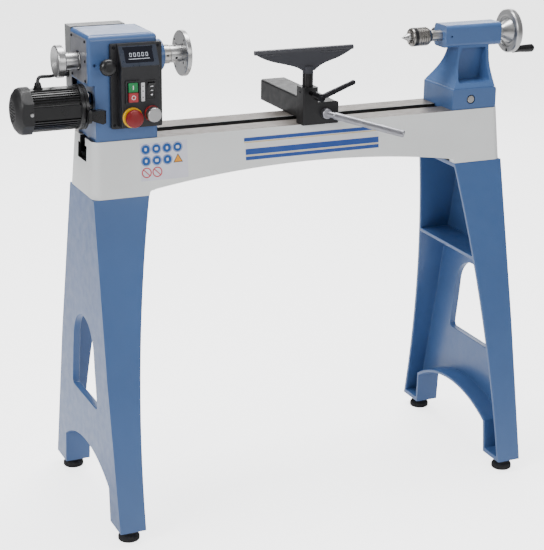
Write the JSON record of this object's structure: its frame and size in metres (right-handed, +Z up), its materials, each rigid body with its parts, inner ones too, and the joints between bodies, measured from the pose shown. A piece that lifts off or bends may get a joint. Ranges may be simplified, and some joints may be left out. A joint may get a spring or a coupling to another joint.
{
  "type": "wood lathe",
  "caption": "Floor-standing wood lathe with cast legs and bed, belt-driven headstock, banjo tool rest and sliding tailstock.",
  "frame": {"origin": "on the floor under the middle of the machine's bounding box", "axes": "+X along the bed towards the tailstock, +Y towards the machine's back, +Z up"},
  "size_m": [1.342, 0.499, 1.14],
  "materials": {
    "bed_paint": "satin",
    "blue_paint": "satin",
    "grey_paint": "satin",
    "box_paint": "satin",
    "black_paint": "gloss",
    "dark_paint": "satin",
    "black_steel": "satin",
    "zinc_steel": "satin",
    "machined_steel": "satin",
    "bright_steel": "polished",
    "core_steel": "matte",
    "cast_aluminium": "satin",
    "chrome": "polished",
    "black_plastic": "matte",
    "green_plastic": "gloss",
    "red_plastic": "gloss",
    "yellow_plastic": "gloss",
    "smoked_window": "gloss",
    "black_rubber": "matte",
    "belt_rubber": "matte",
    "cable_rubber": "satin"
  },
  "bodies": {
    "stand": {"bed": "bed_paint", "leg_left": "blue_paint", "leg_right": "blue_paint", "leg_bolts": "zinc_steel", "foot_pads": "black_rubber", "foot_studs": "zinc_steel", "headstock": "blue_paint", "side_plate": "grey_paint", "cover_screws": "black_steel", "drive_box": "box_paint", "box_gland": "black_plastic", "headstock_clamp": "zinc_steel", "bearings_outer": "bright_steel", "drive_belt": "belt_rubber", "motor_cable": "cable_rubber", "control_box": "black_plastic", "display_window": "smoked_window", "switch_frames": "black_plastic", "panel_rings": "yellow_plastic", "lock_bush": "black_steel", "pivot_pin": "zinc_steel"},
    "spindle_set": {"spindle": "machined_steel", "bearings_inner": "bright_steel", "spindle_collars": "bright_steel", "spindle_pulley": "cast_aluminium", "outboard_wheel": "cast_aluminium", "faceplate": "machined_steel"},
    "motor": {"motor_plate": "black_paint", "tension_grip": "black_paint", "motor_end": "black_paint", "motor_housing": "black_paint", "motor_screws": "zinc_steel", "motor_stator": "core_steel", "fan_cowl": "black_paint", "motor_gland": "black_plastic"},
    "rotor": {"motor_rotor": "machined_steel", "motor_pulley": "cast_aluminium", "motor_fan": "black_plastic"},
    "index_pin": {"lock_pin": "black_plastic"},
    "on_key": {"on_button": "green_plastic"},
    "off_key": {"off_button": "red_plastic"},
    "rocker_key": {"rocker": "black_plastic"},
    "stop_key": {"estop_button": "red_plastic"},
    "speed_dial": {"speed_knob": "cast_aluminium"},
    "bed_clamp": {"banjo_clamp": "core_steel"},
    "eye_bolt": {"cam_block": "core_steel"},
    "banjo_casting": {"banjo": "dark_paint"},
    "cam_lever": {"cam_handle": "chrome"},
    "post": {"rest_post": "dark_paint"},
    "rest_blade": {"tool_rest": "dark_paint"},
    "post_lever": {"rest_lever": "black_steel"},
    "tail_casting": {"tailstock": "blue_paint", "tail_clamp": "core_steel"},
    "tail_lever": {"tail_cam": "machined_steel"},
    "tail_quill": {"quill": "machined_steel", "center_body": "machined_steel"},
    "live_point": {"center_point": "bright_steel"},
    "feed_wheel": {"tail_wheel": "machined_steel"},
    "crank": {"crank_grip": "black_plastic"},
    "quill_knob": {"quill_lock": "black_plastic"}
  },
  "joints": [
    {"name": "spindle_spin", "type": "hinge", "parent": "stand", "child": "spindle_set", "pos_m": [-0.383, 0, 1.075], "axis": [1, 0, 0], "continuous": true},
    {"name": "motor_swing", "type": "hinge", "parent": "stand", "child": "motor", "pos_m": [-0.513, 0.038, 0.965], "axis": [-1, 0, 0], "range_deg": [0, 8], "deforming": ["motor_cable"]},
    {"name": "motor_spin", "type": "hinge", "parent": "motor", "child": "rotor", "pos_m": [-0.573, -0.04, 0.98], "axis": [1, 0, 0], "continuous": true},
    {"name": "index_pin_slide", "type": "slide", "parent": "stand", "child": "index_pin", "axis": [0, 1, 0], "range_m": [0, 0.009]},
    {"name": "on_press", "type": "slide", "parent": "stand", "child": "on_key", "axis": [0, 1, 0], "range_m": [0, 0.0025], "stiffness_N_per_m": 900},
    {"name": "off_press", "type": "slide", "parent": "stand", "child": "off_key", "axis": [0, 1, 0], "range_m": [0, 0.0025], "stiffness_N_per_m": 900},
    {"name": "rocker_tip", "type": "hinge", "parent": "stand", "child": "rocker_key", "pos_m": [-0.3784, -0.11, 1.021], "axis": [1, 0, 0], "range_deg": [-14, 0]},
    {"name": "stop_press", "type": "slide", "parent": "stand", "child": "stop_key", "axis": [0, 1, 0], "range_m": [0, 0.004]},
    {"name": "speed_turn", "type": "hinge", "parent": "stand", "child": "speed_dial", "pos_m": [-0.377, -0.112, 0.969], "axis": [0, 1, 0], "range_deg": [0, 270]},
    {"name": "banjo_slide", "type": "slide", "parent": "stand", "child": "bed_clamp", "axis": [1, 0, 0], "range_m": [-0.18, 0.12]},
    {"name": "banjo_swivel", "type": "hinge", "parent": "bed_clamp", "child": "eye_bolt", "pos_m": [0.057, 0, 0.89], "axis": [0, 0, 1], "range_deg": [-20, 20]},
    {"name": "banjo_cross", "type": "slide", "parent": "eye_bolt", "child": "banjo_casting", "axis": [0, 1, 0], "range_m": [-0.1, 0.025]},
    {"name": "cam_lever_turn", "type": "hinge", "parent": "banjo_casting", "child": "cam_lever", "pos_m": [0.057, 0, 0.93], "axis": [0, -1, 0], "range_deg": [0, 45]},
    {"name": "rest_height", "type": "slide", "parent": "banjo_casting", "child": "post", "axis": [0, 0, 1], "range_m": [-0.02, 0.03]},
    {"name": "rest_swivel", "type": "hinge", "parent": "post", "child": "rest_blade", "pos_m": [0.019, -0.071, 1], "axis": [0, 0, 1], "range_deg": [-60, 60]},
    {"name": "rest_lever_turn", "type": "hinge", "parent": "banjo_casting", "child": "post_lever", "pos_m": [0.019, -0.1, 0.979], "axis": [0, -1, 0], "range_deg": [-10, 120]},
    {"name": "tail_slide", "type": "slide", "parent": "stand", "child": "tail_casting", "axis": [1, 0, 0], "range_m": [-0.3, 0.004]},
    {"name": "tail_lever_turn", "type": "hinge", "parent": "tail_casting", "child": "tail_lever", "pos_m": [0.457, 0, 0.928], "axis": [0, -1, 0], "range_deg": [0, 60]},
    {"name": "quill_lock_turn", "type": "hinge", "parent": "tail_casting", "child": "quill_knob", "pos_m": [0.422, 0.03, 1.075], "axis": [0, 1, 0], "range_deg": [0, 90]},
    {"name": "feed_screw_turn", "type": "hinge", "parent": "tail_casting", "child": "feed_wheel", "pos_m": [0.517, 0, 1.075], "axis": [-1, 0, 0], "range_deg": [-900, 5400]},
    {"name": "quill_slide", "type": "slide", "parent": "tail_casting", "child": "tail_quill", "axis": [-1, 0, 0], "range_m": [-0.01, 0.06]},
    {"name": "live_point_spin", "type": "hinge", "parent": "tail_quill", "child": "live_point", "pos_m": [0.317, 0, 1.075], "axis": [1, 0, 0], "continuous": true},
    {"name": "crank_spin", "type": "hinge", "parent": "feed_wheel", "child": "crank", "pos_m": [0.627, -0.006, 1.029], "axis": [1, 0, 0], "continuous": true}
  ],
  "couplings": [
    {"joint": "motor_spin", "follows": "spindle_spin", "ratio": 3.3077},
    {"joint": "quill_slide", "follows": "feed_screw_turn", "m_per_rad": 0.00063661}
  ]
}
